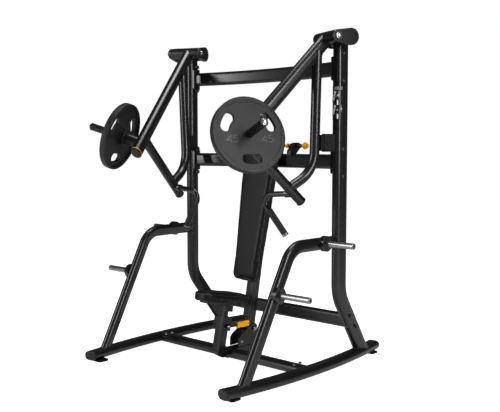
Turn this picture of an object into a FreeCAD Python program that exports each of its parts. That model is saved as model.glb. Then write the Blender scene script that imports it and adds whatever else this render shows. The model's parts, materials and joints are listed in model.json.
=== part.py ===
import FreeCAD, Part
import os, math
from FreeCAD import Vector as V
os.makedirs("parts", exist_ok=True)

# Plate-loaded chest press: two bent side frames, two converging swing arms,
# seat and backrest. Millimetres, +Z up, -Y is the front, X = 0 is the mid plane.
DY = 245.0            # puts the box centre at Y = 0
# base rails: flat ovals, bowed outward in plan
RAIL_W, RAIL_H, WALL = 94.0, 60.0, 3.5
FOOT_H = 12.0
RAIL_F, RAIL_M, RAIL_R = V(605, -990, 42), V(674, -245, 42), V(605, 500, 42)
# uprights
UP_T, UP_B, UP_TOE = 65.0, 101.0, 15.0
UP_X, UP_TOP, UP_BEND = 668.0, 2060.0, 470.0
# front legs with storage horns
LEG_T, LEG_B = 50.0, 78.0
LEG_BOT, LEG_V, LEG_END = V(628, -866, 40), V(648, -452, 815), V(664, 0, 815)
HORN_R, HORN_X = 19.0, 900.0
STORE = [V(636, -594, 550), V(656, -169, 816)]
# cross members
BEAM_B, BEAM_T, BEAM_BOW = 95.0, 48.0, 95.0
UPPER_Z, MID_Z, LOW_Z, LOW_Y = 1901.0, 1317.0, 282.0, 122.0
# arm pivot
PIV = V(632.0, -92.0, 2083.0)
TOE = math.radians(21.58)
SHAFT_R, SLEEVE_R, HALF_I, HALF_O = 20.0, 38.0, 88.0, 100.0
# arm tubes
A_TOP, A_END = V(618.5, -78, 2083), V(417, -746, 1374)
A_B, A_T = 88.0, 67.0
B_END = V(549, -244, 1078)
RECESS_F, RECESS_B, RIM = 2.5, 13.0, 15.0
PLATE_R, PLATE_T, BORE_R, ARM_HORN_R = 225.0, 41.0, 25.3, 24.5
PLATE_C = V(588.2, -760.0, 1486.6)
PLATE_AZ, PLATE_EL = -0.4164, 0.3037
# seat
SEAT_TILT, SEAT_LEN, SEAT_TH = 10.0, 372.0, 60.0
SEAT_REAR = V(0, -222, 364)
# back
BACK_LEAN, BACK_LEN, BACK_TH = 10.7, 902.0, 64.0
BACK_PIV = V(0, -108, 172)

U = V(math.cos(TOE), -math.sin(TOE), 0)
E = V(math.sin(TOE), math.cos(TOE), 0)
N = V(math.cos(PLATE_AZ)*math.cos(PLATE_EL), math.sin(PLATE_AZ)*math.cos(PLATE_EL), math.sin(PLATE_EL))
parts = {}

def unit(v):
    v = V(v); v.normalize(); return v
def wire(pts, rads):
    ed = []; last = pts[0]
    for i in range(1, len(pts)-1):
        a, b, c = pts[i-1], pts[i], pts[i+1]; r = rads[i-1]
        d1, d2 = unit(a-b), unit(c-b); ang = d1.getAngle(d2)
        t = r/math.tan(ang/2); p1, p2 = b+d1*t, b+d2*t
        m = b+unit(d1+d2)*(r/math.sin(ang/2)-r)
        ed += [Part.makeLine(last, p1), Part.Arc(p1, m, p2).toShape()]; last = p2
    ed.append(Part.makeLine(last, pts[-1]))
    return Part.Wire(ed)
def oval(c, d, long, B, T):
    d = unit(d); l = V(long)-d*d.dot(V(long)); l = unit(l); s = d.cross(l)
    if B-T < 0.1: return Part.Wire([Part.Circle(c, d, B/2).toShape()])
    h, r = (B-T)/2, T/2
    p = [c+l*h+s*r, c-l*h+s*r, c-l*h-s*r, c+l*h-s*r]
    return Part.Wire([Part.makeLine(p[0], p[1]), Part.Arc(p[1], c-l*(h+r), p[2]).toShape(),
                      Part.makeLine(p[2], p[3]), Part.Arc(p[3], c+l*(h+r), p[0]).toShape()])
def box_w(c, d, long, B, T, r):
    d = unit(d); l = V(long)-d*d.dot(V(long)); l = unit(l); s = d.cross(l); P = []
    for a, b in ((1, 1), (-1, 1), (-1, -1), (1, -1)): P.append(c+l*(a*B/2)+s*(b*T/2))
    w = [];
    for i in range(4):
        a, b, c2 = P[i-1], P[i], P[(i+1) % 4]; d1, d2 = unit(a-b), unit(c2-b)
        w.append((b+d1*r, b+(d1+d2)*(r*(1-math.sqrt(.5))), b+d2*r))
    ed = []
    for i in range(4):
        ed += [Part.Arc(*w[i]).toShape(), Part.makeLine(w[i][2], w[(i+1) % 4][0])]
    return Part.Wire(ed)
def sweep(w, prof):
    m = Part.BRepOffsetAPI.MakePipeShell(w); m.add(prof); m.build(); m.makeSolid(); return m.shape()
def start(w):
    e = w.Edges[0]; p = e.Vertexes[0].Point
    return e.valueAt(e.FirstParameter), e.tangentAt(e.FirstParameter)
def tube(w, long, B, T, wall=WALL):
    p, t = start(w)
    o = sweep(w, oval(p, t, long, B, T))
    return o, o.cut(sweep(w, oval(p, t, long, B-2*wall, T-2*wall)))
def cyl(r, a, b): return Part.makeCylinder(r, (b-a).Length, a, b-a)
def ring(ro, ri, a, b): return cyl(ro, a, b).cut(cyl(ri, a-(b-a), b+(b-a)))
def both(name, s):
    parts["right_"+name] = s; parts["left_"+name] = s.mirror(V(0, 0, 0), V(1, 0, 0))
def solids(s): return Part.makeCompound(s.Solids)
def fuse(*s):
    r = s[0]
    for k in s[1:]: r = r.fuse(k)
    return r.removeSplitter()
def mir(s): return s.mirror(V(0, 0, 0), V(1, 0, 0))

# base rails, end caps, feet
rw = Part.Wire([Part.Arc(RAIL_F, RAIL_M, RAIL_R).toShape()])
rail_o, rail = tube(rw, V(1, 0, 0), RAIL_W, RAIL_H)
both("base_rail", rail)
e = rw.Edges[0]; t0, t1 = e.tangentAt(e.FirstParameter), e.tangentAt(e.LastParameter)
def cap(p, d, long, B, T, out=6.0, plug=24.0, grow=0.0):
    d = unit(d)
    a = Part.Face(oval(p, d, long, B+grow, T+grow)).extrude(d*out)
    try: a = a.makeFillet(min(out*.6, 4.5), [x for x in a.Edges if all(abs((v.Point-p).dot(d)-out) < 1e-3 for v in x.Vertexes)])
    except Exception: pass
    return a.fuse(Part.Face(oval(p, d, long, B-2*WALL-.6, T-2*WALL-.6)).extrude(d*-plug)).removeSplitter()
rc = Part.makeCompound([cap(RAIL_F, t0*-1, V(1, 0, 0), RAIL_W, RAIL_H, 12), cap(RAIL_R, t1, V(1, 0, 0), RAIL_W, RAIL_H, 12)])
parts["rail_caps"] = Part.makeCompound([rc, mir(rc)])
feet = []
for y, x in ((-930, 615), (440, 615)):
    f = Part.Face(box_w(V(x-18 if y < 0 else x+14, y, 0), V(0, 0, 1), V(1, 0, 0), 104, 76, 14)).extrude(V(0, 0, FOOT_H)) if y < 0 else Part.Face(box_w(V(x+10, y, 0), V(0, 0, 1), V(1, 0, 0), 84, 70, 14)).extrude(V(0, 0, FOOT_H))
    feet.append(f)
fc = Part.makeCylinder(30, FOOT_H, V(0, -110, 0)); fc = fc.makeFillet(3, [fc.Edges[0], fc.Edges[2]])
parts["rail_feet"] = Part.makeCompound(feet+[mir(k) for k in feet]+[fc])

# uprights and legs
a = math.radians(UP_TOE); ue = V(math.sin(a), math.cos(a), 0); un = V(math.cos(a), -math.sin(a), 0)
uw = wire([V(UP_X, 0, UP_TOP), V(UP_X, 0, UP_BEND), V(636, 318, 40)], [230])
up_o, up = tube(uw, ue, UP_B, UP_T)
up = up.cut(rail_o)
lw = wire([LEG_BOT, LEG_V, LEG_END], [150])
ld = LEG_V-LEG_BOT; side = V(math.cos(a), -math.sin(a), 0)
leg_o, leg = tube(lw, ld.cross(side), LEG_B, LEG_T)
leg = leg.cut(up_o).cut(rail_o)
leg = max(leg.Solids, key=lambda s: s.Volume)
up = max(up.Solids, key=lambda s: s.Volume)
horns, cols = [], []
for c in STORE:
    f = c.x+LEG_T/2
    h = cyl(HORN_R, V(f+24, c.y, c.z), V(HORN_X, c.y, c.z))
    h = h.makeChamfer(2.5, [x for x in h.Edges if x.BoundBox.XMin > HORN_X-1])
    horns.append(h.cut(cyl(9, V(HORN_X-14, c.y, c.z), V(HORN_X+5, c.y, c.z))))
    k = cyl(49, V(c.x, c.y, c.z), V(f+24, c.y, c.z)); k = k.makeFillet(3, [x for x in k.Edges if x.BoundBox.XMin > f+20])
    cols.append(k.cut(leg_o).cut(h).cut(cyl(60, V(0, c.y, c.z), V(c.x+14, c.y, c.z))))
cols = [max(k.Solids, key=lambda s: s.Volume) for k in cols]
both("storage_horns", Part.makeCompound(horns)); both("storage_collars", Part.makeCompound(cols))

# pivot bracket: barrel on the upright with two tapered cheeks, shaft between
C0 = V(UP_X, 0, PIV.z); C0 = PIV+E*((C0-PIV).dot(E))
def cheek(s0, s1):
    d = 98.8; r1, r2 = 52.0, 37.0; n = U
    b, c = C0+U*s0, PIV+U*s0
    sn = (r1-r2)/d; cs = math.sqrt(1-sn*sn); f = E*-1; z = V(0, 0, 1)
    q = lambda p, r, sg: p+f*(r*sn)+z*(sg*r*cs)
    w = Part.Wire([Part.makeLine(q(b, r1, 1), q(c, r2, 1)), Part.Arc(q(c, r2, 1), c+f*r2, q(c, r2, -1)).toShape(),
                   Part.makeLine(q(c, r2, -1), q(b, r1, -1)), Part.Arc(q(b, r1, -1), b-f*r1, q(b, r1, 1)).toShape()])
    s = Part.Face(w).extrude(U*(s1-s0))
    m = max(abs(s0), abs(s1))
    return s.makeFillet(6, [x for x in s.Edges if all(abs(abs((v.Point-PIV).dot(U))-m) < 1e-3 for v in x.Vertexes)])
br = fuse(cyl(46, C0-U*(HALF_I+4), C0+U*(HALF_O+4)), cheek(HALF_O+2, HALF_O+26), cheek(-HALF_I-2, -HALF_I-26))
br = br.cut(cyl(SHAFT_R+.05, PIV-U*200, PIV+U*200))
s_i, s_o = HALF_I+26, HALF_O+26
shaft = fuse(cyl(SHAFT_R, PIV-U*s_i, PIV+U*s_o), cyl(27, PIV+U*s_o, PIV+U*(s_o+6)), cyl(27, PIV-U*s_i, PIV-U*(s_i+6)))
both("pivot_bracket", br); both("pivot_shaft", shaft)
up = up.cut(cyl(46, C0-U*(HALF_I+4), C0+U*(HALF_O+4))); up = max(up.Solids, key=lambda s: s.Volume)
both("upright", up); both("front_leg", leg)

# arm: sleeve, three tubes, weight horn
sleeve = ring(SLEEVE_R, SHAFT_R+.05, PIV-U*HALF_I, PIV+U*HALF_O)
sl_o = cyl(SLEEVE_R, PIV-U*HALF_I, PIV+U*HALF_O)
aw = Part.Wire([Part.makeLine(A_TOP, A_END)]); al = E*-1
A_o, A = tube(aw, al, A_B, A_T)
A = A.cut(sl_o); A = max(A.Solids, key=lambda s: s.Volume)
ad = unit(A_END-A_TOP); Q = A_TOP+ad*((A_END-A_TOP).Length-130)
B_o, B = tube(Part.Wire([Part.makeLine(Q, B_END)]), V(0, 0, 1), 60, 60)
B = B.cut(A_o); B = max(B.Solids, key=lambda s: s.Volume)
bd = unit(B_END-Q); CJ = Q+bd*((B_END-Q).Length*.79)
C_TOP, C_LOW = V(605.5, -158, 2002), V(578.5, -148.6, 1264)
cw = wire([C_TOP, C_LOW, CJ], [200])
Cp, Ct = start(cw)
C_o, C = tube(cw, U, 62, 62)
C = C.cut(sl_o).cut(B_o).cut(A_o); C = max(C.Solids, key=lambda s: s.Volume)
HB = PLATE_C-N*214
horn = cyl(ARM_HORN_R, HB, PLATE_C+N*207)
hh = horn.makeChamfer(3, [x for x in horn.Edges if ((x.BoundBox.Center-PLATE_C).dot(N)) > 202])
hub = cyl(50, PLATE_C-N*(PLATE_T+24), PLATE_C-N*PLATE_T); hub = hub.makeFillet(4, [hub.Edges[0], hub.Edges[2]])
neck = Part.makeCone(33, 42, 110, PLATE_C-N*(PLATE_T+134), N)
horn = fuse(hh, hub, neck).cut(A_o).cut(B_o)
horn = max(horn.Solids, key=lambda s: s.Volume)
acap = [cap(A_END, ad, al, A_B, A_T, 10), cap(B_END, bd, V(0, 0, 1), 60, 60, 12, grow=3)]
both("arm_sleeve", sleeve); both("arm_front_tube", A); both("arm_lower_tube", B); both("arm_rear_tube", C)
both("arm_horn", horn); both("arm_caps", Part.makeCompound(acap))

# handle
H0 = Q+bd*((B_END-Q).Length*.875); H1, H2 = V(262, -308, 1107), V(446, -270, 866)
hw = wire([H0, H1, H2], [52])
h_o = sweep(hw, oval(start(hw)[0], start(hw)[1], V(0, 0, 1), 36, 36))
hd = unit(H2-H1); L = (H2-H1).Length
handle = h_o.cut(B_o).cut(C_o); handle = max(handle.Solids, key=lambda s: s.Volume)
sock = ring(24, 18, H0+unit(H1-H0)*20, H0+unit(H1-H0)*62).cut(B_o).cut(C_o)
grip = ring(21, 18, H1+hd*118, H1+hd*(L-4))
grip = grip.makeFillet(2, [x for x in grip.Edges if x.BoundBox.DiagonalLength > 55 and len(x.Vertexes) == 1])
hend = cyl(21.5, H1+hd*L, H1+hd*(L+12)); hend = hend.makeFillet(3, [hend.Edges[0]])
both("handle", Part.makeCompound([handle, max(sock.Solids, key=lambda s: s.Volume)]))
both("handle_grip", grip); both("handle_end", hend)

# weight plate: rim, hub, three kidney grips
def placed(p, b):
    zx = unit(V(0, 0, 1)-N*N.z); xd = zx.cross(N)
    pl = FreeCAD.Placement(FreeCAD.Matrix(xd.x, zx.x, N.x, b.x, xd.y, zx.y, N.y, b.y, xd.z, zx.z, N.z, b.z, 0, 0, 0, 1))
    q = p.copy(); q.Placement = pl; return q
def plate():
    o = Part.makeCylinder(PLATE_R, PLATE_T); o = o.makeFillet(5, [o.Edges[0], o.Edges[2]])
    for z0, dp, hr in ((PLATE_T-RECESS_F, RECESS_F+1, 36), (-1, RECESS_B+1, 56)): o = o.cut(Part.makeCylinder(PLATE_R-RIM, dp, V(0, 0, z0)).cut(Part.makeCylinder(hr, dp, V(0, 0, z0))))
    o = o.cut(Part.makeCylinder(BORE_R, 80, V(0, 0, -10)))
    rm, hw_, half = 148.0, 29.0, math.radians(12.5)
    for k in range(3):
        a0 = math.radians(30+120*k); P = lambda r, t: V(r*math.cos(t), r*math.sin(t), -5)
        s, e2 = a0-half, a0+half
        w = Part.Wire([Part.Arc(P(rm+hw_, s), P(rm+hw_, a0), P(rm+hw_, e2)).toShape(),
                       Part.Arc(P(rm+hw_, e2), P(rm, e2)+V(-math.sin(e2), math.cos(e2), 0)*hw_, P(rm-hw_, e2)).toShape(),
                       Part.Arc(P(rm-hw_, e2), P(rm-hw_, a0), P(rm-hw_, s)).toShape(),
                       Part.Arc(P(rm-hw_, s), P(rm, s)-V(-math.sin(s), math.cos(s), 0)*hw_, P(rm+hw_, s)).toShape()])
        o = o.cut(Part.Face(w).extrude(V(0, 0, 60)))
    return placed(o, PLATE_C-N*(PLATE_T-.4))
both("weight_plate", plate())

# stop block on the upright, rubber face just clear of the rear arm tube
cz = (C_TOP.z-1437.0)/(C_TOP.z-C_LOW.z); cp_ = C_TOP*(1-cz)+C_LOW*cz; cp_ = V(cp_.x, cp_.y, 0)
sd = unit(cp_-V(UP_X, 0, 0)); ss = V(-sd.y, sd.x, 0); zc = 1437.0
gap0 = (cp_-V(UP_X, 0, 0)).Length-31
def blk(s0, s1, wd, ht, r):
    c = V(UP_X, 0, zc)+sd*s0
    return Part.Face(box_w(c, sd, V(0, 0, 1), ht, wd, r)).extrude(sd*(s1-s0))
sb = blk(20, gap0-26, 46, 112, 8).cut(up_o); sb = max(sb.Solids, key=lambda s: s.Volume)
sr = blk(gap0-26, gap0-1.0, 42, 100, 14).cut(sweep(cw, oval(Cp, Ct, U, 63.6, 63.6)))
both("stop_block", sb); parts["stop_rubbers"] = Part.makeCompound([sr, mir(sr)])

# cross members
def beam(z, y0, bow, cutters):
    x = 668.0
    w = Part.Wire([Part.Arc(V(-x, y0, z), V(0, y0+bow, z), V(x, y0, z)).toShape()]) if bow else Part.Wire([Part.makeLine(V(-x, y0, z), V(x, y0, z))])
    o, t = tube(w, V(0, 0, 1), BEAM_B, BEAM_T)
    for c in cutters: t = t.cut(c).cut(mir(c))
    return o, max(t.Solids, key=lambda s: s.Volume)
ub_o, parts["upper_beam"] = beam(UPPER_Z, 0, BEAM_BOW, [up_o])
mb_o, parts["middle_beam"] = beam(MID_Z, 0, BEAM_BOW, [up_o, sb])
lb_o, parts["lower_beam"] = beam(LOW_Z, LOW_Y, 0, [up_o])
# flanges where the beams meet the uprights
fl = []
for z in (UPPER_Z, MID_Z):
    c = V(UP_X, 0, z)-un*(UP_T/2-3)
    f = Part.Face(box_w(c, un*-1, V(0, 0, 1), 150, 84, 12)).extrude(un*-13)
    fl.append(max(f.cut(up_o).cut(ub_o).cut(mb_o).cut(sb).cut(sr).Solids, key=lambda s: s.Volume))
parts["beam_flanges"] = Part.makeCompound(fl+[mir(k) for k in fl])
cx = Part.Wire([Part.makeLine(V(-664, -318, 42), V(664, -318, 42))])
ct_o, ct = tube(cx, V(0, 1, 0), 84, 60)
ct = ct.cut(rail_o).cut(mir(rail_o)); parts["base_cross_tube"] = max(ct.Solids, key=lambda s: s.Volume)
sp_o = Part.Face(box_w(V(0, -350, 42), V(0, 1, 0), V(0, 0, 1), 60, 70, 10)).extrude(V(0, 290, 0))
sp = sp_o.cut(Part.Face(box_w(V(0, -344, 42), V(0, 1, 0), V(0, 0, 1), 53, 63, 7)).extrude(V(0, 278, 0))).cut(ct_o)
shelf = fuse(Part.makeBox(70, 100, 16, V(-35, -452, 56)), Part.Face(Part.makePolygon([V(-5, -440, 56), V(-5, -352, 56), V(-5, -352, 16), V(-5, -378, 16), V(-5, -440, 48), V(-5, -440, 56)])).extrude(V(10, 0, 0))).cut(ct_o)
shelf = max(shelf.Solids, key=lambda s: s.Volume)
parts["base_spine"] = Part.makeCompound(sp.Solids+[shelf])

# seat: socket on the cross tube, telescoping post, plate, lever
S0, S1 = V(0, -414, 72), V(0, -352, 352); sdv = unit(S1-S0)
def rtube(p0, p1, B, T, w, r=6, long=V(0, 1, 0)):
    d = p1-p0
    return Part.Face(box_w(p0, d, long, B, T, r)).extrude(d), Part.Face(box_w(p0, d, long, B-2*w, T-2*w, max(r-w, 1.5))).extrude(d)
o, i = rtube(S0-sdv*30, S0+sdv*168, 64, 64, 9.6)
o = o.fuse(Part.Face(box_w(S0+sdv*136, sdv, V(0, 1, 0), 88, 88, 9)).extrude(sdv*86)); i = Part.Face(box_w(S0-sdv*40, sdv, V(0, 1, 0), 44.8, 44.8, 1.5)).extrude(sdv*400)
sk = o.cut(i).cut(ct_o).cut(Part.makeBox(400, 400, 74, V(-200, -600, -2))); sk = max(sk.Solids, key=lambda s: s.Volume)
ca, sa = math.cos(math.radians(SEAT_TILT)), math.sin(math.radians(SEAT_TILT))
sf, sn = V(0, -ca, sa), V(0, sa, ca)
# post stops just under the seat plate
ptop = S0+sdv*290
o2, i2 = rtube(S0+sdv*25, ptop, 44, 44, 3)
big = Part.Face(Part.makePolygon([SEAT_REAR-sn*12+sf*-300+V(-300, 0, 0), SEAT_REAR-sn*12+sf*700+V(-300, 0, 0), SEAT_REAR-sn*12+sf*700+V(300, 0, 0), SEAT_REAR-sn*12+sf*-300+V(300, 0, 0), SEAT_REAR-sn*12+sf*-300+V(-300, 0, 0)])).extrude(sn*400)
pb = o2.cut(i2).cut(big); parts["seat_post"] = max(pb.Solids, key=lambda s: s.Volume)
def slab(base, f, x, n, pts, th, rad):
    P = [base+f*p[1]+x*p[0] for p in pts]; k = len(P); w = []
    for j in range(k):
        b, a_, c_ = P[j], P[j-1], P[(j+1) % k]; d1, d2 = unit(a_-b), unit(c_-b); ang = d1.getAngle(d2); r = rad[j]; t = r/math.tan(ang/2)
        w.append((b+d1*t, b+unit(d1+d2)*(r/math.sin(ang/2)-r), b+d2*t))
    ed = []
    for j in range(k): ed += [Part.Arc(*w[j]).toShape(), Part.makeLine(w[j][2], w[(j+1) % k][0])]
    return Part.Face(Part.Wire(ed)).extrude(n*th)
X1 = V(1, 0, 0)
plate_s = slab(SEAT_REAR-sn*12, sf, X1, sn, [(-70, 30), (70, 30), (45, 330), (-45, 330)], 11.6, [20]*4)
bk_ = Part.Face(box_w(S0+sdv*262, sdv, V(0, 1, 0), 78, 92, 10)).extrude(sdv*40).cut(big).cut(Part.Face(box_w(S0+sdv*200, sdv, V(0, 1, 0), 44.1, 44.1, 6)).extrude(sdv*200))
parts["seat_plate"] = Part.makeCompound([plate_s, max(bk_.Solids, key=lambda s: s.Volume)])
seat = slab(SEAT_REAR, sf, X1, sn, [(-118, 0), (118, 0), (66, SEAT_LEN), (-66, SEAT_LEN)], SEAT_TH, [38, 38, 52, 52])
parts["seat_pad"] = seat.makeFillet(12, [x for x in seat.Edges if all(abs((v.Point-SEAT_REAR).dot(sn)-SEAT_TH) < 1e-3 for v in x.Vertexes)])
lp = S0+sdv*164+V(48, 0, 0)
lev0, lev1 = lp+V(8, 0, 0), lp+V(8, 205, -8)
lv = fuse(cyl(13, lp+V(1, 0, 0), lp+V(13, 0, 0)), Part.Face(box_w(lp+V(7, 0, 0), lev1-lev0, V(0, 0, 1), 16, 10, 3)).extrude((lev1-lev0)*.42)).cut(cyl(6.05, lp-V(20, 0, 0), lp+V(40, 0, 0)))
parts["seat_lever"] = lv
parts["seat_socket"] = Part.makeCompound([sk, cyl(6, lp-V(3.9, 0, 0), lp+V(13.5, 0, 0)).fuse(cyl(10, lp+V(13.6, 0, 0), lp+V(18, 0, 0))).removeSplitter()])
g0 = lp+V(7, 0, 0)+(lev1-lev0)*.42
lg = Part.Face(box_w(g0, lev1-lev0, V(0, 0, 1), 40, 15, 7)).extrude((lev1-lev0)*.55); parts["lever_grip"] = lg

# backrest: bracket on the spine, pin, post, pad, arc rack
bl = math.radians(BACK_LEAN); bu, bf = V(0, math.sin(bl), math.cos(bl)), V(0, -math.cos(bl), math.sin(bl))
pl = []
for x in (-42, 32):
    q = Part.Face(Part.makePolygon([V(x, -262, 72), V(x, -75, 72), V(x, -75, 190), V(x, -92, 206), V(x, -124, 206), V(x, -160, 192), V(x, -236, 150), V(x, -258, 128), V(x, -262, 72)])).extrude(V(10, 0, 0))
    pl.append(q.cut(cyl(9.05, BACK_PIV-X1*60, BACK_PIV+X1*60)))
bpin = fuse(cyl(9, BACK_PIV-X1*46, BACK_PIV+X1*46), cyl(15, BACK_PIV+X1*42.1, BACK_PIV+X1*50), cyl(15, BACK_PIV-X1*42.1, BACK_PIV-X1*50))
parts["back_bracket"] = Part.makeCompound(pl+[bpin])
BB = V(0, -172, 517)      # bottom of the pad's front face
rear = BB-bf*BACK_TH
pc = rear-bf*24           # post centre line passes behind the pad board
k = (BACK_PIV-pc).dot(bu); pp = pc+bu*k
off = (BACK_PIV-pp).dot(bf)
po, pi_ = rtube(BACK_PIV-bu*22, BACK_PIV+bu*1020, 42, 60, 3, 7, bf)
shift = (pc-BACK_PIV).dot(bf)
po.translate(bf*0); 
bk = fuse(po).cut(pi_)
eye = ring(18, 9.05, BACK_PIV-X1*30, BACK_PIV+X1*30)
bk = max(bk.cut(cyl(18.05, BACK_PIV-X1*40, BACK_PIV+X1*40)).Solids, key=lambda s: s.Volume)
bk = [bk, eye]
pback = (BACK_PIV-BB).dot(bf)*-1    # distance of the pivot line behind the front face
pad0 = BB
d_board = pback-21.0
parts["back_board"] = slab(BB-bf*(BACK_TH+18.2)+bu*60, bu, X1, bf, [(-70, 0), (70, 0), (100, 815), (-100, 815)], 18.0, [25]*4)
w0, w1 = 102.0, 148.0
pad = slab(BB-bf*BACK_TH, bu, X1, bf, [(-w0, 0), (w0, 0), (w1, BACK_LEN), (-w1, BACK_LEN)], BACK_TH, [45, 45, 60, 60])
parts["back_pad"] = pad.makeFillet(14, [x for x in pad.Edges if all(abs((v.Point-BB).dot(bf)) < 1e-3 for v in x.Vertexes)])
for k_ in (440, 760, 985):
    c_ = BACK_PIV+bu*k_+bf*21.05
    bk.append(Part.Face(box_w(c_, bf, bu, 60, 90, 6)).extrude(bf*(d_board-BACK_TH-18.5)))
strut = Part.Face(box_w(BACK_PIV+bu*78+bf*35.2, bu, bf, 28, 64, 5)).extrude(bu*240)
parts["back_post"] = Part.makeCompound(bk+[strut])
# arc rack on the back of the board, guide bracket with pull pin on the middle beam
rr = 1270.0
g = lambda r, t: V(-5, BACK_PIV.y+r*math.sin(math.radians(t)), BACK_PIV.z+r*math.cos(math.radians(t)))
ta, tb = 8.0, 16.5
rk = Part.Face(Part.Wire([Part.Arc(g(rr+14, ta), g(rr+14, (ta+tb)/2), g(rr+14, tb)).toShape(), Part.makeLine(g(rr+14, tb), g(rr-54, tb)),
                          Part.Arc(g(rr-54, tb), g(rr-54, (ta+tb)/2), g(rr-54, ta)).toShape(), Part.makeLine(g(rr-54, ta), g(rr+14, ta))])).extrude(V(10, 0, 0))
rk = rk.fuse(Part.Face(Part.makePolygon([g(1190, 7.6), g(1230, 7.6), g(1230, 8.6), g(1190, 8.6), g(1190, 7.6)])).extrude(V(10, 0, 0))).removeSplitter()
for t in (11.2, 12.7, 14.2, 15.7): rk = rk.cut(cyl(5.5, g(rr, t)-X1*20, g(rr, t)+X1*30))
rk = rk.cut(pad).cut(parts["back_board"]); rk = max(rk.Solids, key=lambda s: s.Volume)
parts["back_rack"] = rk
kp = g(rr, 11.2); 
gb = Part.makeBox(8, 85, 118, V(6, kp.y-50, MID_Z+30)).cut(mb_o)
gb = fuse(gb, cyl(13, V(14, kp.y, kp.z), V(34, kp.y, kp.z))).cut(cyl(5.05, V(-40, kp.y, kp.z), V(90, kp.y, kp.z)))
gb = max(gb.Solids, key=lambda s: s.Volume)
g2 = Part.Face(Part.makePolygon([V(186, y, z) for y, z in ((62, 1354), (112, 1354), (160, 1400), (160, 1430), (150, 1440), (122, 1440), (62, 1384), (62, 1354))])).extrude(V(36, 0, 0)).cut(mb_o); g2 = fuse(max(g2.Solids, key=lambda s: s.Volume), cyl(17, V(160, kp.y, kp.z), V(240, kp.y, kp.z))).cut(cyl(5.05, V(-40, kp.y, kp.z), V(330, kp.y, kp.z)))
parts["rack_guide"] = Part.makeCompound([gb, max(g2.Solids, key=lambda s: s.Volume)])
parts["pull_pin"] = cyl(5, V(5.6, kp.y, kp.z), V(270, kp.y, kp.z))
kb = cyl(19, V(270, kp.y, kp.z), V(304, kp.y, kp.z)); parts["pull_knob"] = kb.makeFillet(4, [kb.Edges[0], kb.Edges[2]])

bb = None
for n in sorted(parts):
    s = parts[n].copy(); s.translate(V(0, DY, 0))
    ss_ = s.Solids
    s = ss_[0] if len(ss_) == 1 else Part.makeCompound(ss_)
    if not s.isValid() or not ss_ or s.Volume <= 0: print("BAD", n, s.isValid(), len(ss_))
    s.exportStep("parts/%s.step" % n)
    b = s.BoundBox
    if bb is None: bb = FreeCAD.BoundBox(b)
    else: bb.add(b)
print(len(parts), "nodes; box", bb)
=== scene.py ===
import bpy, bmesh, math, json, random
from mathutils import Vector, Matrix
from mathutils.bvhtree import BVHTree

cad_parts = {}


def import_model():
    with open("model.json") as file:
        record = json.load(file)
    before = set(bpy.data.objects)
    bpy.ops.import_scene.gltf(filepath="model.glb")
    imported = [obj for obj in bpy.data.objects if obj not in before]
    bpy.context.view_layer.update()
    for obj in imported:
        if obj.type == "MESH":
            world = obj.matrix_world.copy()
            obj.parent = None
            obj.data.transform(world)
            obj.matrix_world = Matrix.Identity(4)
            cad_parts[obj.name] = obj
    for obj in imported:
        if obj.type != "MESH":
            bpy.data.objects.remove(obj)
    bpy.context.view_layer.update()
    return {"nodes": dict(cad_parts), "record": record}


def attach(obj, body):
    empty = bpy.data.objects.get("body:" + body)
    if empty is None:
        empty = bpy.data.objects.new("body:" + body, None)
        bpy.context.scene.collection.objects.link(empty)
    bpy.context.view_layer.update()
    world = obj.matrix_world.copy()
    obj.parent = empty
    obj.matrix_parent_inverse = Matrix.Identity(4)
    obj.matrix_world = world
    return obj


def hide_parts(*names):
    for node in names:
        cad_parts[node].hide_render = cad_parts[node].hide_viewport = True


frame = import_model()
nodes = frame["nodes"]
random.seed(7)
DY = 245.0
def P(x, y, z): return Vector((x/1000, (y+DY)/1000, z/1000))
def D(x, y, z): return Vector((x, y, z)).normalized()

# ---------------------------------------------------------------- camera
cam = bpy.data.cameras.new("camera"); co = bpy.data.objects.new("camera", cam)
bpy.context.scene.collection.objects.link(co); bpy.context.scene.camera = co
A, PT = 0.735, 0.0792
co.location = P(3563.5, -4065.0, 1425.3)
co.rotation_euler = (math.pi/2-PT, 0, A)
cam.sensor_width = 36; cam.lens = 785.78*36/500
cam.shift_x, cam.shift_y = 0.0041, 0.0022
cam.clip_end = 100

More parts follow.
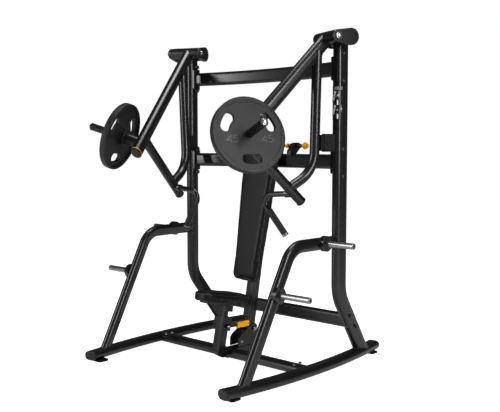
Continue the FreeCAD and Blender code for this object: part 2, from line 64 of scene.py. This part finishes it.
# ---------------------------------------------------------------- materials
def material(name, col, rough=.4, metal=0.0, grain=600.0, bump=.1, var=.15, rvar=.08, spec=.5, coat=0.0, kind="noise", sheen=0.0, wear=0.0, mottle=7.0):
    m = bpy.data.materials.new(name); m.use_nodes = True; nt = m.node_tree; b = nt.nodes["Principled BSDF"]
    L = nt.links.new; N = nt.nodes.new
    tc = N("ShaderNodeTexCoord")
    n1 = N("ShaderNodeTexNoise"); n1.inputs["Scale"].default_value = mottle; n1.inputs["Detail"].default_value = 5
    L(tc.outputs["Object"], n1.inputs["Vector"])
    mx = N("ShaderNodeMix"); mx.data_type = "RGBA"
    mx.inputs[6].default_value = tuple(c*(1-var) for c in col)+(1,)
    mx.inputs[7].default_value = tuple(min(1, c*(1+var)+wear) for c in col)+(1,)
    L(n1.outputs["Fac"], mx.inputs[0]); L(mx.outputs[2], b.inputs["Base Color"])
    mr = N("ShaderNodeMapRange"); mr.inputs["To Min"].default_value = max(.02, rough-rvar); mr.inputs["To Max"].default_value = rough+rvar
    n2 = N("ShaderNodeTexNoise"); n2.inputs["Scale"].default_value = 23; n2.inputs["Detail"].default_value = 4
    L(tc.outputs["Object"], n2.inputs["Vector"]); L(n2.outputs["Fac"], mr.inputs["Value"]); L(mr.outputs[0], b.inputs["Roughness"])
    if kind == "voronoi":
        g = N("ShaderNodeTexVoronoi"); g.feature = "SMOOTH_F1"; out = g.outputs["Distance"]
    elif kind == "wave":
        g = N("ShaderNodeTexWave"); g.inputs["Distortion"].default_value = 0.0; out = g.outputs["Fac"]
    else:
        g = N("ShaderNodeTexNoise"); g.inputs["Detail"].default_value = 3; out = g.outputs["Fac"]
    g.inputs["Scale"].default_value = grain; L(tc.outputs["Object"], g.inputs["Vector"])
    bp = N("ShaderNodeBump"); bp.inputs["Strength"].default_value = bump; bp.inputs["Distance"].default_value = .0006
    L(out, bp.inputs["Height"]); L(bp.outputs["Normal"], b.inputs["Normal"])
    b.inputs["Metallic"].default_value = metal; b.inputs["Specular IOR Level"].default_value = spec
    b.inputs["Coat Weight"].default_value = coat; b.inputs["Coat Roughness"].default_value = .18
    if sheen: b.inputs["Sheen Weight"].default_value = sheen
    return m
M = {
 "frame_black": material("powder_black", (.0038, .0038, .0041), .30, grain=1300, bump=.022, var=.12, rvar=.02, spec=.50, coat=.0),
 "cap_black": material("cap_black", (.005, .005, .0053), .36, grain=900, bump=.06, spec=.30),
 "rubber": material("rubber_black", (.0035, .0035, .0035), .6, grain=700, bump=.2, spec=.12),
 "chrome": material("chrome_satin", (.30, .30, .305), .34, metal=1.0, grain=90, bump=.004, var=.04, rvar=.02),
 "horn_black": material("horn_black", (.008, .008, .0085), .28, grain=1400, bump=.04, var=.08, rvar=.03, spec=.28),
 "steel": material("steel_dark", (.045, .045, .048), .36, metal=.6, grain=500, bump=.05),
 "grip_rubber": material("grip_rubber", (.013, .013, .013), .6, grain=420, bump=.4, kind="voronoi", spec=.25),
 "accent_yellow": material("accent_yellow", (.90, .37, .004), .38, grain=500, bump=.04, var=.04, spec=.3),
 "plate_grey": material("plate_grey", (.0145, .0145, .0152), .42, grain=900, bump=.08, var=.07, rvar=.04, metal=.0, mottle=3.0, spec=.22),
 "vinyl": material("vinyl_black", (.0044, .0044, .0048), .42, grain=520, bump=.28, kind="voronoi", var=.15, rvar=.04, spec=.20),
 "board": material("board_black", (.008, .008, .008), .6, grain=300, bump=.2, spec=.2),
}
zinc = material("bolt_zinc", (.42, .42, .43), .30, metal=1.0, grain=400, bump=.04)
boltblk = material("bolt_black", (.018, .018, .02), .34, grain=400, bump=.05, spec=.6)
pan = material("placard_dark", (.022, .024, .027), .3, grain=300, bump=.03, coat=.3)
pan2 = material("placard_head", (.30, .31, .33), .35, grain=300, bump=.03)
white = material("placard_white", (.78, .78, .76), .4, grain=300, bump=.02, var=.03)
orange = material("placard_orange", (.85, .33, .01), .4, grain=300, bump=.02, var=.03)
thread = material("seam_thread", (.018, .018, .019), .5, grain=900, bump=.2)
digit = material("plate_digit", (.015, .015, .016), .42, grain=900, bump=.1, var=.05)
blockblk = material("block_black", (.0042, .0042, .0045), .60, grain=900, bump=.05, spec=.14)
# painted shadow: near-black colour for the thin strip that stands in for the shade at the inner edge of each plate rim
# land
painted_shade_strip = material("plate_painted_shadow", (.010, .010, .010), .7, grain=900, bump=.1, var=.05)

slots = {s["node"]: s["material_slot"] for s in frame["record"]["subparts"]}
for n, o in nodes.items():
    o.data.materials.clear(); o.data.materials.append(blockblk if n.endswith("stop_block") else M[slots[n]])
    at = o.data.attributes.get("custom_normal")
    if at: o.data.attributes.remove(at)
    for p in o.data.polygons: p.use_smooth = True; p.material_index = 0
    w = o.modifiers.new("weld", "WELD"); w.merge_threshold = 1e-5
    e = o.modifiers.new("split", "EDGE_SPLIT"); e.split_angle = math.radians(28)

# ---------------------------------------------------------------- helpers
def obj(name, me, mat, body, smooth=True, split=35):
    o = bpy.data.objects.new(name, me); bpy.context.scene.collection.objects.link(o)
    if mat: me.materials.append(mat)
    if smooth:
        for p in me.polygons: p.use_smooth = True
        if split:
            e = o.modifiers.new("split", "EDGE_SPLIT"); e.split_angle = math.radians(split)
    if body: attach(o, body)
    return o
def basis(d):
    d = d.normalized(); u = d.cross(Vector((0, 0, 1)) if abs(d.z) < .9 else Vector((1, 0, 0))).normalized()
    return u, d.cross(u), d
def lathe(bm, prof, loc, d, seg=24, hexfrom=None):
    u, v, w = basis(d); rings = []
    for (r, h) in prof:
        if r < 1e-7: rings.append([bm.verts.new(loc+w*h)]); continue
        rings.append([bm.verts.new(loc+w*h+(u*math.cos(2*math.pi*k/seg)+v*math.sin(2*math.pi*k/seg))*r) for k in range(seg)])
    for a, b in zip(rings, rings[1:]):
        for k in range(seg):
            j = (k+1) % seg
            if len(a) == 1: bm.faces.new((a[0], b[j], b[k]))
            elif len(b) == 1: bm.faces.new((a[k], a[j], b[0]))
            else: bm.faces.new((a[k], a[j], b[j], b[k]))
def hexnut(bm, loc, d, r, h0, h1):
    u, v, w = basis(d); prev = None
    for (s, h) in ((1, h0), (1, h1-.0012), (.9, h1), (0, h1)):
        if s == 0:
            c = bm.verts.new(loc+w*h)
            for k in range(6): bm.faces.new((prev[k], prev[(k+1) % 6], c))
        else:
            ring = [bm.verts.new(loc+w*h+(u*math.cos(math.pi*k/3)+v*math.sin(math.pi*k/3))*r*s) for k in range(6)]
            if prev:
                for k in range(6): j = (k+1) % 6; bm.faces.new((prev[k], prev[j], ring[j], ring[k]))
            prev = ring
def bolt_set(name, items, mat, body):
    bm = bmesh.new()
    for loc, d, r, kind in items:
        d = d.normalized()
        lathe(bm, [(r*1.35, -.002), (r*1.35, .0018), (r*1.25, .0026), (r*.6, .0026)], loc, d)
        if kind == "hex":
            hexnut(bm, loc, d, r, .0026, .0026+r*.75); lathe(bm, [(r*.5, .0026), (r*.5, r*1.0), (r*.42, r*1.08), (0, r*1.08)], loc, d, 14)
        else:
            lathe(bm, [(r, .0026), (r, .0026+r*.3), (r*.86, .0026+r*.58), (r*.62, .0026+r*.7), (r*.5, .0026+r*.7), (r*.48, .0026+r*.35), (0, .0026+r*.3)], loc, d)
    me = bpy.data.meshes.new(name); bm.to_mesh(me); bm.free()
    return obj(name, me, mat, body)
def mx(v): return Vector((-v.x, v.y, v.z))
def side(items, s):
    return [(mx(l), mx(d), r, k) for l, d, r, k in items] if s < 0 else items

a = math.radians(15); ue = Vector((math.sin(a), math.cos(a), 0)); un = Vector((math.cos(a), -math.sin(a), 0))
TO = math.radians(21.58); U = Vector((math.cos(TO), -math.sin(TO), 0)); E = Vector((math.sin(TO), math.cos(TO), 0))
PIV = P(632, -92, 2083)
az, el = -.4164, .3037
N = Vector((math.cos(az)*math.cos(el), math.sin(az)*math.cos(el), math.sin(el)))
PC = P(588.2, -760.0, 1486.6)
A0, A1 = P(618.5, -78, 2083), P(417, -746, 1374); ad = (A1-A0).normalized()
Q = A1-ad*.130; B1 = P(549, -244, 1078); bd = (B1-Q).normalized(); BL = (B1-Q).length

# ---------------------------------------------------------------- bolts
for s, nm in ((1, "right"), (-1, "left")):
    up = []
    for z in (1991, 1822, 1398, 1226):
        up += [(P(668, 0, z)+un*.0325, un, .0085, "cap"), (P(668, 0, z)-un*.0455, un*-1, .0125, "hex")]
    for k in (318, 236): up.append((P(664, 112+(318-k)*.84, k)+un*.0325, un, .009, "cap"))
    bolt_set(nm+"_frame_bolts", side(up, s), boltblk, "frame")
    br = [(P(588, y, 72), Vector((0, 0, 1)), .0085, "hex") for y in (-290, -346)]
    br += [(PIV+U*.132, U, .013, "cap"), (PIV-U*.120, U*-1, .013, "cap")]
    bolt_set(nm+"_base_bolts", side(br, s), zinc, "frame")
    ar = [(A1-ad*.03+U*.0335, U, .008, "cap"), (PC+N*.2065, N, .0125, "cap")]
    HS = Q+bd*(BL*.875); h1 = (P(262, -308, 1107)-HS).normalized(); hv = Vector((.55, -.75, .35)); hv = (hv-h1*h1.dot(hv)).normalized()
    ar.append((HS+h1*.05+hv*.0235, hv, .006, "cap"))
    bolt_set(nm+"_arm_bolts", side(ar, s), zinc, nm+"_arm")
sdv = Vector((0, .062, .28)).normalized(); S0 = P(0, -414, 72); lp = S0+sdv*.164
bolt_set("seat_bolts", [(lp+Vector((.0655, 0, 0)), Vector((1, 0, 0)), .0085, "hex"),
                        (P(42, -236, 104), Vector((1, 0, 0)), .008, "hex"), (P(42, -100, 92), Vector((1, 0, 0)), .008, "hex"),
                        (P(50, -108, 172), Vector((1, 0, 0)), .011, "cap"), (P(-50, -108, 172), Vector((-1, 0, 0)), .011, "cap")], zinc, "frame")

# ---------------------------------------------------------------- oval bands and weld beads
def oval_ring(bm, c, d, long, B, T, h, off, seg=16):
    d = d.normalized(); l = (long-d*d.dot(long)).normalized(); s = d.cross(l); hh, r = (B-T)/2, T/2
    pts = []
    for k in range(seg+1): t = math.pi*k/seg; pts.append((l*hh+(l*math.sin(t)+s*math.cos(t))*r, (l*math.sin(t)+s*math.cos(t))))
    for k in range(seg+1): t = math.pi+math.pi*k/seg; pts.append((l*-hh+(l*math.sin(t)+s*math.cos(t))*r, (l*math.sin(t)+s*math.cos(t))))
    rows = []
    for (o_, z_) in ((-.001, -h/2), (off, -h/2*.8), (off, h/2*.8), (-.001, h/2)):
        rows.append([bm.verts.new(c+p+nn*o_+d*z_) for p, nn in pts])
    n = len(pts)
    for a_, b_ in zip(rows, rows[1:]):
        for k in range(n): j = (k+1) % n; bm.faces.new((a_[k], a_[j], b_[j], b_[k]))
def mirror_bm(bm):
    for v in bm.verts: v.co.x = -v.co.x
    bmesh.ops.reverse_faces(bm, faces=bm.faces)
for s, nm in ((1, "right"), (-1, "left")):
    bm = bmesh.new(); oval_ring(bm, A1-ad*.0045, ad, E*-1, .088, .067, .005, .0009)
    if s < 0: mirror_bm(bm)
    me = bpy.data.meshes.new(nm+"_arm_stripe"); bm.to_mesh(me); bm.free(); obj(nm+"_arm_stripe", me, M["accent_yellow"], nm+"_arm")
LB, LV = P(628, -866, 40), P(648, -452, 815); ld = (LV-LB).normalized(); LX = Vector((math.cos(a), -math.sin(a), 0))

C_TOP, C_LOW = P(605.5, -158, 2002), P(578.5, -148.6, 1264); CJ = Q+bd*(BL*.79)
def trees(*names):
    dg = bpy.context.evaluated_depsgraph_get(); return [BVHTree.FromObject(nodes[n], dg) for n in names]
def weld(bm, tree, c, d, long, B, T, reach=.22, rad=.0034, n=120):
    # rippled fillet bead on the curve where a tube's wall meets its neighbour
    d = d.normalized(); l = (long-d*d.dot(long)).normalized(); q = d.cross(l); hh, r = (B-T)/2, T/2; rows = []
    for k in range(n):
        t = 2*math.pi*k/n; nn = l*math.sin(t)+q*math.cos(t); p = c+nn*(r+.0006)+l*(hh if math.sin(t) >= 0 else -hh)
        hit = tree.ray_cast(p, d, reach)
        if hit[0] is None: rows.append(None); continue
        rr = rad*(1+.14*math.sin(k*1.9)+.06*math.sin(k*4.7))
        rows.append([bm.verts.new(hit[0]+nn*(rr*math.cos(f))+d*(rr*math.sin(f))) for f in [2*math.pi*m/7 for m in range(7)]])
    for k in range(n):
        a_, b_ = rows[k], rows[(k+1) % n]
        if a_ is None or b_ is None or (a_[0].co-b_[0].co).length > .02: continue
        for m in range(7): bm.faces.new((a_[m], b_[m], b_[(m+1) % 7], a_[(m+1) % 7]))
tA, tB, tR, tU = trees("right_arm_front_tube", "right_arm_lower_tube", "right_base_rail", "right_upright")
UL, UH = P(636, 318, 40), P(668, 0, 470); ud = (UL-UH).normalized(); le = Vector((16, 452, 0)).normalized()
for s, nm in ((1, "right"), (-1, "left")):
    bm = bmesh.new()
    weld(bm, tA, Q+bd*.13, -bd, Vector((0, 0, 1)), .060, .060)
    weld(bm, tB, CJ-(CJ-C_LOW).normalized()*.10, CJ-C_LOW, U, .062, .062)
    weld(bm, tA, C_TOP-(C_TOP-C_LOW).normalized()*.15, C_TOP-C_LOW, U, .062, .062)
    if s < 0: mirror_bm(bm)
    bmesh.ops.delete(bm, geom=[v for v in bm.verts if not v.link_faces], context="VERTS")
    me = bpy.data.meshes.new(nm+"_arm_welds"); bm.to_mesh(me); bm.free(); obj(nm+"_arm_welds", me, M["frame_black"], nm+"_arm", split=None)
    bm = bmesh.new()
    weld(bm, tR, LB-ld*-.13, -ld, ld.cross(LX), .078, .050)
    weld(bm, tR, UL-ud*.13, ud, ue, .101, .065)
    weld(bm, tU, P(664, 0, 815)-le*.15, le, Vector((0, 0, 1)), .078, .050)
    if s < 0: mirror_bm(bm)
    bmesh.ops.delete(bm, geom=[v for v in bm.verts if not v.link_faces], context="VERTS")
    me = bpy.data.meshes.new(nm+"_frame_welds"); bm.to_mesh(me); bm.free(); obj(nm+"_frame_welds", me, M["frame_black"], "frame", split=None)

# ---------------------------------------------------------------- placard wrapped round the right upright
def wrap(sv, z, off=.0009):
    # sv: arc length from the nose middle towards the outer flat
    r = .0325; c = P(668, 0, z)-ue*.018; q = sv/r
    if q <= math.pi/2:
        nn = ue*-math.cos(q)+un*math.sin(q); return c+nn*(r+off)
    return c+un*(r+off)+ue*(sv-r*math.pi/2)
def strip(name, s0, s1, z0, z1, off, mat, n=28, rnd=.0):
    bm = bmesh.new(); rows = []
    for k in range(n+1):
        sv = s0+(s1-s0)*k/n; t = min(sv-s0, s1-sv); ins = 0 if t >= rnd else (rnd-math.sqrt(max(0, rnd**2-(rnd-t)**2)))
        rows.append([bm.verts.new(wrap(sv, zz, off)) for zz in (z0+ins*1000, z1-ins*1000)])
    for p, q in zip(rows, rows[1:]): bm.faces.new((p[0], q[0], q[1], p[1]))
    bmesh.ops.solidify(bm, geom=bm.faces[:], thickness=-.0005)
    bmesh.ops.recalc_face_normals(bm, faces=bm.faces)
    me = bpy.data.meshes.new(name); bm.to_mesh(me); bm.free(); return obj(name, me, mat, "frame")
strip("placard_panel", -.027, .062, 1581, 1790, .0012, pan, rnd=.005)
strip("placard_header", -.022, .058, 1765, 1785, .0019, pan2)
def shape(name, loops, mat):
    bm = bmesh.new()
    for pts in loops: bm.faces.new([bm.verts.new(wrap(px, pz, .0024)) for px, pz in pts])
    me = bpy.data.meshes.new(name); bm.to_mesh(me); bm.free(); return obj(name, me, mat, "frame", split=None)
def caps(x0, y0, x1, y1, w):
    dx, dy = x1-x0, y1-y0; L_ = math.hypot(dx, dy) or 1e-6; ux, uy = dx/L_, dy/L_; pts = []
    for k in range(9): t = math.pi/2+math.pi*k/8; pts.append((x0+w*(ux*math.cos(t)-uy*math.sin(t)), y0+w*(uy*math.cos(t)+ux*math.sin(t))))
    for k in range(9): t = -math.pi/2+math.pi*k/8; pts.append((x1+w*(ux*math.cos(t)-uy*math.sin(t)), y1+w*(uy*math.cos(t)+ux*math.sin(t))))
    return pts
def figure(tag, s0, z0, sc, reach):
    # seated pictogram: head, torso, thigh, shin, arm; bench and lever behind
    T = lambda L_: [[(s0+px*sc, z0+py*sc*1000) for px, py in q] for q in L_]
    body = [caps(-.05, .88, -.049, .88, .13), caps(-.1, .62, -.2, .16, .12), caps(-.2, .08, .22, .04, .085), caps(.24, .0, .26, -.4, .07), caps(-.06, .6, .22, .5, .06), caps(.22, .5, reach, .62, .05)]
    shape("placard_figure_"+tag, T(body), white)
    rig = [caps(-.36, .75, -.5, -.05, .035), caps(-.46, -.08, .34, -.14, .035), caps(-.3, -.14, -.36, -.45, .03), caps(reach, 1.0, reach+.04, .35, .035), caps(-.42, -.47, .5, -.47, .03)]
    shape("placard_rig_"+tag, T(rig), pan2)
    shape("placard_spot_"+tag, T([caps(reach+.02, .62, reach+.021, .62, .11)]), orange)
figure("a", .012, 1699, .058, .34); figure("b", .012, 1612, .058, .60)

# ---------------------------------------------------------------- weight plates: raised rim lands, painted shadow line and numerals
px = Vector((0, 0, 1)); pz = (px-N*N.z).normalized(); pxd = pz.cross(N)
def on_plate(u, v, h): return PC+pxd*u+pz*v+N*(h+.0004)
FACE = -.0025
def land(bm, r0, r1, a0, a1, h, n=40, bev=.0012):
    rows = []
    for k in range(n+1):
        t = a0+(a1-a0)*k/n; c_, s_ = math.cos(t), math.sin(t)
        rows.append([bm.verts.new(on_plate(r*c_, r*s_, z)) for r, z in ((r0, FACE-.0006), (r0, h-bev), (r0+bev, h), (r1, h), (r1+.0006, FACE-.0006))])
    for p, q in zip(rows, rows[1:]):
        for i in range(4): bm.faces.new((p[i], q[i], q[i+1], p[i+1]))
    bm.faces.new(rows[0]); bm.faces.new(rows[-1][::-1])
def stroke(bm, pts, w, h, bev=.0008):
    # flat raised stroke along a polyline with mitred corners
    n = len(pts); Ls, Rs = [], []
    for i in range(n):
        p = Vector(pts[i]); d0 = (p-Vector(pts[i-1])).normalized() if i else None; d1 = (Vector(pts[i+1])-p).normalized() if i < n-1 else None
        a_ = d0 or d1; b_ = d1 or d0; m_ = ((a_+b_).normalized()); nr = Vector((-m_.y, m_.x)); k = w/2/max(.35, nr.dot(Vector((-a_.y, a_.x))))
        Ls.append((p+nr*k, p+nr*(k-bev))); Rs.append((p-nr*k, p-nr*(k-bev)))
    rows = [[bm.verts.new(on_plate(q.x, q.y, z)) for q, z in ((l[0], FACE-.0004), (l[0], FACE+h-bev), (l[1], FACE+h), (r_[1], FACE+h), (r_[0], FACE+h-bev), (r_[0], FACE-.0004))] for l, r_ in zip(Ls, Rs)]
    for p, q in zip(rows, rows[1:]):
        for i in range(5): bm.faces.new((p[i], p[i+1], q[i+1], q[i]))
    bm.faces.new(rows[0][::-1]); bm.faces.new(rows[-1])
for s, nm in ((1, "right"), (-1, "left")):
    bm = bmesh.new()
    for c in (90, 210, 330): land(bm, .1985, .2125, math.radians(c-34), math.radians(c+34), .0003)
    if s < 0:
        mirror_bm(bm)
    bmesh.ops.recalc_face_normals(bm, faces=bm.faces)
    me = bpy.data.meshes.new(nm+"_plate_lands"); bm.to_mesh(me); bm.free(); obj(nm+"_plate_lands", me, M["plate_grey"], nm+"_plate")
    # painted shadow line: a thin near-black strip just inside each rim land, standing in for the shade along the
    # land's inner edge
    bm = bmesh.new()
    for c in (90, 210, 330): land(bm, .1955, .1992, math.radians(c-34.4), math.radians(c+34.4), FACE+.0005, bev=.0002)
    if s < 0: mirror_bm(bm)
    bmesh.ops.recalc_face_normals(bm, faces=bm.faces)
    me = bpy.data.meshes.new(nm+"_plate_shadow_strip"); bm.to_mesh(me); bm.free(); obj(nm+"_plate_shadow_strip", me, painted_shade_strip, nm+"_plate")
    bm = bmesh.new()
    for cx in (-.108, .108):
        cy = -.029
        four = [(cx-.008, cy-.021), (cx-.008, cy+.0205), (cx-.036, cy-.008), (cx-.0015, cy-.008)]
        five = [(cx+.034, cy+.0195), (cx+.0105, cy+.0195), (cx+.0085, cy+.003), (cx+.022, cy+.005), (cx+.0325, cy-.002), (cx+.0325, cy-.011), (cx+.023, cy-.0195), (cx+.0065, cy-.018)]
        for q in (four, five):
            if s < 0: q = [(-x_, y_) for x_, y_ in q]     # numerals read the right way round on the mirrored plate
            stroke(bm, q, .0075, .0018)
    if s < 0: mirror_bm(bm)
    bmesh.ops.recalc_face_normals(bm, faces=bm.faces)
    me = bpy.data.meshes.new(nm+"_plate_numerals"); bm.to_mesh(me); bm.free(); obj(nm+"_plate_numerals", me, digit, nm+"_plate")

# ---------------------------------------------------------------- small fittings: rod collar, rod spring, knob skirt
KZ = P(0, -108+1270*math.sin(math.radians(11.2)), 172+1270*math.cos(math.radians(11.2))); X = Vector((1, 0, 0))
def turned(name, loc, prof, mat, body, seg=32, d=X):
    bm = bmesh.new(); lathe(bm, prof, loc, d, seg)
    bmesh.ops.recalc_face_normals(bm, faces=bm.faces)
    me = bpy.data.meshes.new(name); bm.to_mesh(me); bm.free(); return obj(name, me, mat, body)
turned("rod_collar", KZ, [(.0052, .122), (.014, .122), (.016, .124), (.016, .140), (.014, .142), (.0052, .142)], M["accent_yellow"], "pull_knob")
turned("knob_skirt", KZ, [(.019, .276), (.0235, .278), (.025, .283), (.0235, .288), (.019, .290)], M["accent_yellow"], "pull_knob")
turned("knob_neck", KZ, [(.0051, .2405), (.0115, .2405), (.0115, .262), (.013, .264), (.013, .2695), (.0051, .2695)], boltblk, "frame")
def coil(name, a0, a1, r, wire, turns, body):
    cu = bpy.data.curves.new(name, "CURVE"); cu.dimensions = "3D"; sp = cu.splines.new("NURBS"); n = turns*12; sp.points.add(n)
    for k in range(n+1):
        t = 2*math.pi*k/12; x = a0+(a1-a0)*k/n; sp.points[k].co = (KZ.x+x, KZ.y+r*math.cos(t), KZ.z+r*math.sin(t), 1)
    sp.order_u = 3; sp.use_endpoint_u = True; cu.bevel_depth = wire; cu.bevel_resolution = 2; cu.materials.append(zinc)
    o = bpy.data.objects.new(name, cu); bpy.context.scene.collection.objects.link(o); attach(o, body)
coil("rod_spring", .036, .119, .0085, .0012, 11, "frame")

# ---------------------------------------------------------------- pads
def inflate(src, voxel, shrink, cap, pressure=4.0):
    me = src.data.copy(); o = bpy.data.objects.new("tmp_pad", me); bpy.context.scene.collection.objects.link(o)
    w = o.modifiers.new("w", "WELD"); w.merge_threshold = 1e-5
    r = o.modifiers.new("r", "REMESH"); r.mode = "VOXEL"; r.voxel_size = voxel
    dg = bpy.context.evaluated_depsgraph_get(); m2 = bpy.data.meshes.new_from_object(o.evaluated_get(dg)); o.modifiers.clear(); o.data = m2
    bm = bmesh.new(); bm.from_mesh(m2)
    bmesh.ops.smooth_vert(bm, verts=bm.verts, factor=.5, use_axis_x=True, use_axis_y=True, use_axis_z=True)
    bm.normal_update()
    ns = [v.normal.copy() for v in bm.verts]
    for v, n_ in zip(bm.verts, ns): v.co -= n_*shrink
    bm.to_mesh(m2); bm.free()
    start = [v.co.copy() for v in m2.vertices]
    c = o.modifiers.new("c", "CLOTH"); st = c.settings
    st.use_pressure = True; st.uniform_pressure_force = pressure; st.effector_weights.gravity = 0
    st.quality = 5; st.mass = .3; st.tension_stiffness = 25; st.compression_stiffness = 25; st.bending_stiffness = 2; st.air_damping = 3
    c.collision_settings.use_self_collision = False; c.collision_settings.use_collision = False
    c.point_cache.frame_start = 1; c.point_cache.frame_end = 20
    sc = bpy.context.scene
    for f in range(1, 21): sc.frame_set(f)
    dg = bpy.context.evaluated_depsgraph_get(); m3 = bpy.data.meshes.new_from_object(o.evaluated_get(dg)); sc.frame_set(1)
    end = [v.co.copy() for v in m3.vertices]
    for v, s_, e_ in zip(m3.vertices, start, end):
        d = e_-s_
        if d.length > cap: d *= cap/d.length
        v.co = s_+d
    bpy.data.objects.remove(o); return m3
def pad(name, node, body, back_n, back_p, voxel, shrink, cap, swell):
    me = inflate(nodes[node], voxel, shrink, cap)
    bm = bmesh.new(); bm.from_mesh(me)
    for k in range(6): bmesh.ops.smooth_vert(bm, verts=bm.verts, factor=.5, use_axis_x=True, use_axis_y=True, use_axis_z=True)
    bm.to_mesh(me); bm.free()
    for v in me.vertices:                       # flat where it rests on its board
        k = (v.co-back_p).dot(back_n)
        if k < .0004: v.co += back_n*(.0004-k)
    cad = [v.co.copy() for v in nodes[node].data.vertices]
    for a_ in (Vector((1, 0, 0)), back_n.cross(Vector((1, 0, 0)))):     # swell past the solid's own outline
        l0, h0 = min(c.dot(a_) for c in cad)-swell, max(c.dot(a_) for c in cad)+swell
        l1, h1 = min(v.co.dot(a_) for v in me.vertices), max(v.co.dot(a_) for v in me.vertices)
        for v in me.vertices: t = v.co.dot(a_); v.co += a_*(l0+(t-l1)*(h0-l0)/(h1-l1)-t)
    me.materials.clear()
    o = obj(name, me, M["vinyl"], body, split=None)
    sd = o.modifiers.new("sub", "SUBSURF"); sd.levels = 1; sd.render_levels = 1
    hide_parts(node); return o
ti = math.radians(10); sf, sn = Vector((0, -math.cos(ti), math.sin(ti))), Vector((0, math.sin(ti), math.cos(ti)))
SR = P(0, -222, 364)
bl = math.radians(10.7); bu, bf = Vector((0, math.sin(bl), math.cos(bl))), Vector((0, -math.cos(bl), math.sin(bl)))
BB = P(0, -172, 517)
seat = pad("seat_cushion", "seat_pad", "seat", sn, SR, .005, .003, .011, .004)
back = pad("back_cushion", "back_pad", "backrest", bf, BB-bf*.064, .006, .003, .011, .009)
def outline(pts, rad, n=10):
    out = []
    k = len(pts)
    for j in range(k):
        b = Vector(pts[j]); p, q = Vector(pts[j-1]), Vector(pts[(j+1) % k]); d1, d2 = (p-b).normalized(), (q-b).normalized(); r = rad[j]
        ang = d1.angle(d2); t = r/math.tan(ang/2); c = b+(d1+d2).normalized()*(r/math.sin(ang/2))
        s_, e_ = b+d1*t-c, b+d2*t-c; th = s_.angle(e_)
        for i in range(n+1):
            f = i/n; out.append(c+(s_*math.sin((1-f)*th)+e_*math.sin(f*th))/math.sin(th))
    return out
def piping(name, padobj, base, f, n, pts, rad, h, r, body):
    dg = bpy.context.evaluated_depsgraph_get(); dg.update(); bv = BVHTree.FromObject(padobj, dg)
    loop = []; o2 = outline(pts, rad); 
    dense = []
    for p, q in zip(o2, o2[1:]+o2[:1]):
        m_ = max(1, int((q-p).length/.02))
        for i in range(m_): dense.append(p+(q-p)*i/m_)
    cpt = sum(dense, Vector((0, 0)))/len(dense)
    for p in dense:
        w = base+Vector((1, 0, 0))*p.x+f*p.y+n*h; cw = base+Vector((1, 0, 0))*cpt.x+f*cpt.y+n*h
        dr = (cw-w).normalized(); hit = bv.ray_cast(w-dr*.08, dr, .25)
        loop.append(hit[0]-dr*(r*.25) if hit[0] is not None else w)
    cu = bpy.data.curves.new(name, "CURVE"); cu.dimensions = "3D"; sp = cu.splines.new("POLY"); sp.points.add(len(loop)-1)
    for q, p in zip(sp.points, loop): q.co = (*p, 1)
    sp.use_cyclic_u = True; cu.bevel_depth = r; cu.bevel_resolution = 3
    o = bpy.data.objects.new(name, cu); bpy.context.scene.collection.objects.link(o); cu.materials.append(thread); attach(o, body); return o
sp_ = [(-.118, 0), (.118, 0), (.066, .372), (-.066, .372)]
piping("seat_piping", seat, SR, sf, sn, sp_, [.038, .038, .052, .052], .046, .0016, "seat")
bp_ = [(-.102, 0), (.102, 0), (.148, .902), (-.148, .902)]
piping("back_piping", back, BB-bf*.064, bu, bf, bp_, [.045, .045, .06, .06], .050, .0016, "backrest")

# ---------------------------------------------------------------- stage and light
fm = material("floor_white", (.80, .80, .80), .65, grain=40, bump=.0, var=.004, rvar=.02, spec=.2)
fb = fm.node_tree.nodes["Principled BSDF"]; fb.inputs["Emission Color"].default_value = (1, 1, 1, 1); flp = fm.node_tree.nodes.new("ShaderNodeLightPath"); fmr = fm.node_tree.nodes.new("ShaderNodeMapRange"); fmr.inputs["To Min"].default_value = .12; fmr.inputs["To Max"].default_value = .97
fm.node_tree.links.new(flp.outputs["Is Camera Ray"], fmr.inputs["Value"]); fm.node_tree.links.new(fmr.outputs[0], fb.inputs["Emission Strength"])
bm = bmesh.new(); S = 60
vs = [bm.verts.new((x, y, 0)) for x, y in ((-S, -S), (S, -S), (S, S), (-S, S))]; bm.faces.new(vs)
me = bpy.data.meshes.new("floor"); bm.to_mesh(me); bm.free(); fl = bpy.data.objects.new("floor", me); bpy.context.scene.collection.objects.link(fl); me.materials.append(fm)
w = bpy.data.worlds.new("world"); bpy.context.scene.world = w; w.use_nodes = True; wn = w.node_tree
bg = wn.nodes["Background"]; bg.inputs[0].default_value = (1, 1, 1, 1)
lpn = wn.nodes.new("ShaderNodeLightPath"); wm = wn.nodes.new("ShaderNodeMapRange")
wm.inputs["To Min"].default_value = .06; wm.inputs["To Max"].default_value = 1.0
wn.links.new(lpn.outputs["Is Camera Ray"], wm.inputs["Value"]); wn.links.new(wm.outputs[0], bg.inputs[1])
def area(name, loc, tgt, size, power):
    l = bpy.data.lights.new(name, "AREA"); l.shape = "RECTANGLE"; l.size, l.size_y = size; l.energy = power
    o = bpy.data.objects.new(name, l); bpy.context.scene.collection.objects.link(o); o.location = loc
    o.rotation_euler = (Vector(tgt)-Vector(loc)).to_track_quat("-Z", "Y").to_euler()
area("key", (5.6, -.9, 3.0), (0, 0, 1.0), (.62, 3.8), 240)
area("left", (-2.4, -5.2, 2.8), (0, 0, 1.1), (.52, 3.6), 190)
area("top", (.4, .2, 5.2), (0, 0, 0), (1.6, 2.2), 150)
bpy.context.scene.view_settings.view_transform = "Standard"
bpy.context.scene.view_settings.look = "None"
